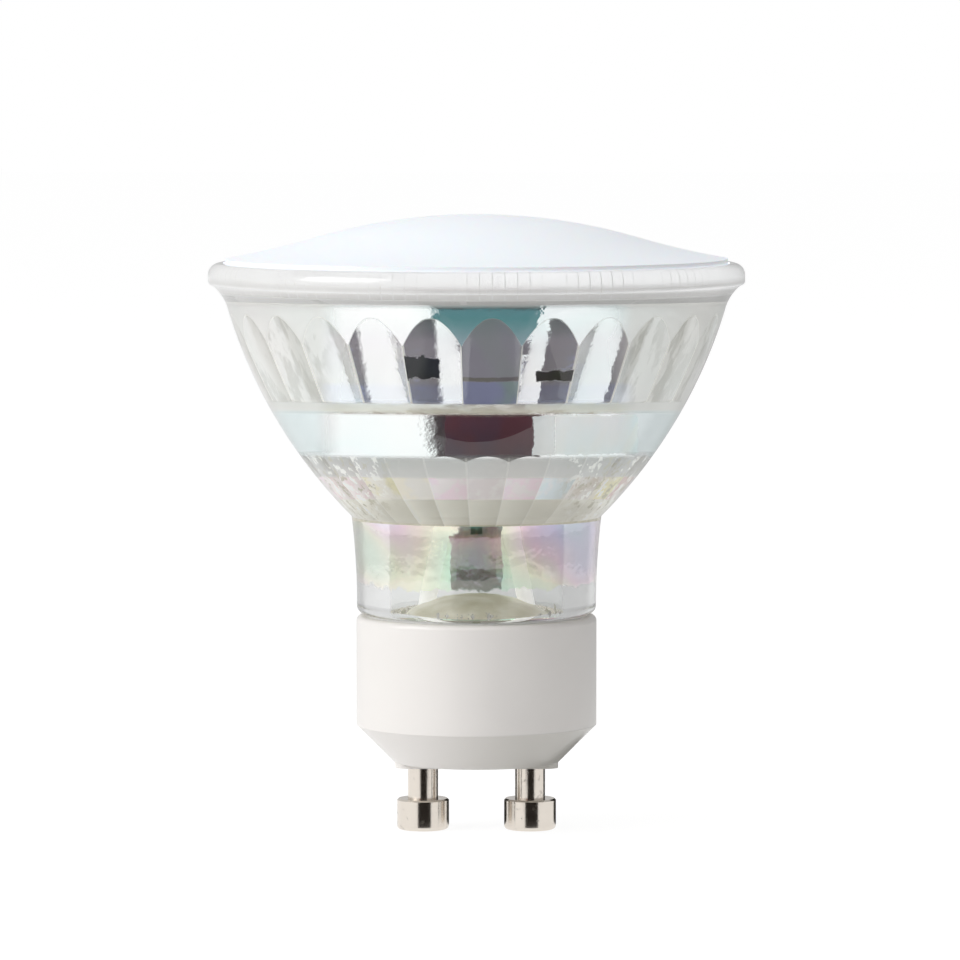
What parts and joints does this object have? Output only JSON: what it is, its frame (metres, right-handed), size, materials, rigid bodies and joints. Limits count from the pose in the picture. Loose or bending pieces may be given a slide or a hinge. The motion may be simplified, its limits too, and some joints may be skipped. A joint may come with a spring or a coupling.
{
  "type": "gu10 spotlight bulb",
  "caption": "Reflector spotlight bulb with a fluted, mirror-lined pressed glass body, a low opal dome cover, a white base and a two-pin twist-and-lock cap.",
  "frame": {"origin": "on the lamp's axis, in the plane of the two contact pins' flat ends", "axes": "+Z along the lamp's axis from the pins to the dome; +X from the left pin to the right pin; the picture's camera looks along +Y"},
  "size_m": [0.0498, 0.0498, 0.0575],
  "materials": {
    "opal_plastic": "matt opal, lightly satin",
    "clear_glass": "clear pressed glass with an iridescent mirror film inside",
    "white_glaze": "glazed white, soft gloss",
    "nickel_plate": "polished nickel plate",
    "silicone": "cured translucent white",
    "potting_resin": "cast, slightly glossy",
    "white_mask": "white solder mask on an aluminium core",
    "board_laminate": "green solder mask",
    "led_body": "white moulding with yellow phosphor gel",
    "black_epoxy": "moulded, matt",
    "can_aluminium": "drawn, satin",
    "ferrite": "sintered, matt",
    "copper_wire": "enamelled copper, glossy",
    "resistor_coat": "flameproof coat, matt",
    "tinned_wire": "tinned, satin",
    "sleeve_white": "heat-proof sleeving",
    "solder": "bright solder",
    "chip_ceramic": "coated, satin"
  },
  "bodies": {
    "root": {"dome_cover": "opal_plastic", "rim_sealant": "silicone", "glass_reflector": "clear_glass", "base_housing": "white_glaze", "base_adhesive": "silicone", "neck_potting": "potting_resin", "contact_pin_left": "nickel_plate", "contact_pin_right": "nickel_plate", "led_board": "white_mask", "led_packages": "led_body", "led_pin_front": "tinned_wire", "led_pin_rear": "tinned_wire", "driver_board": "board_laminate", "input_capacitor": "can_aluminium", "output_capacitor": "can_aluminium", "inductor_core": "ferrite", "inductor_winding": "copper_wire", "fusible_resistor": "resistor_coat", "driver_chip": "black_epoxy", "bridge_rectifier": "black_epoxy", "flyback_diode": "black_epoxy", "chip_resistors": "chip_ceramic", "pin_lead_left": "tinned_wire", "pin_lead_right": "tinned_wire", "lead_sleeve_left": "sleeve_white", "lead_sleeve_right": "sleeve_white", "solder_joints": "solder"}
  },
  "joints": []
}
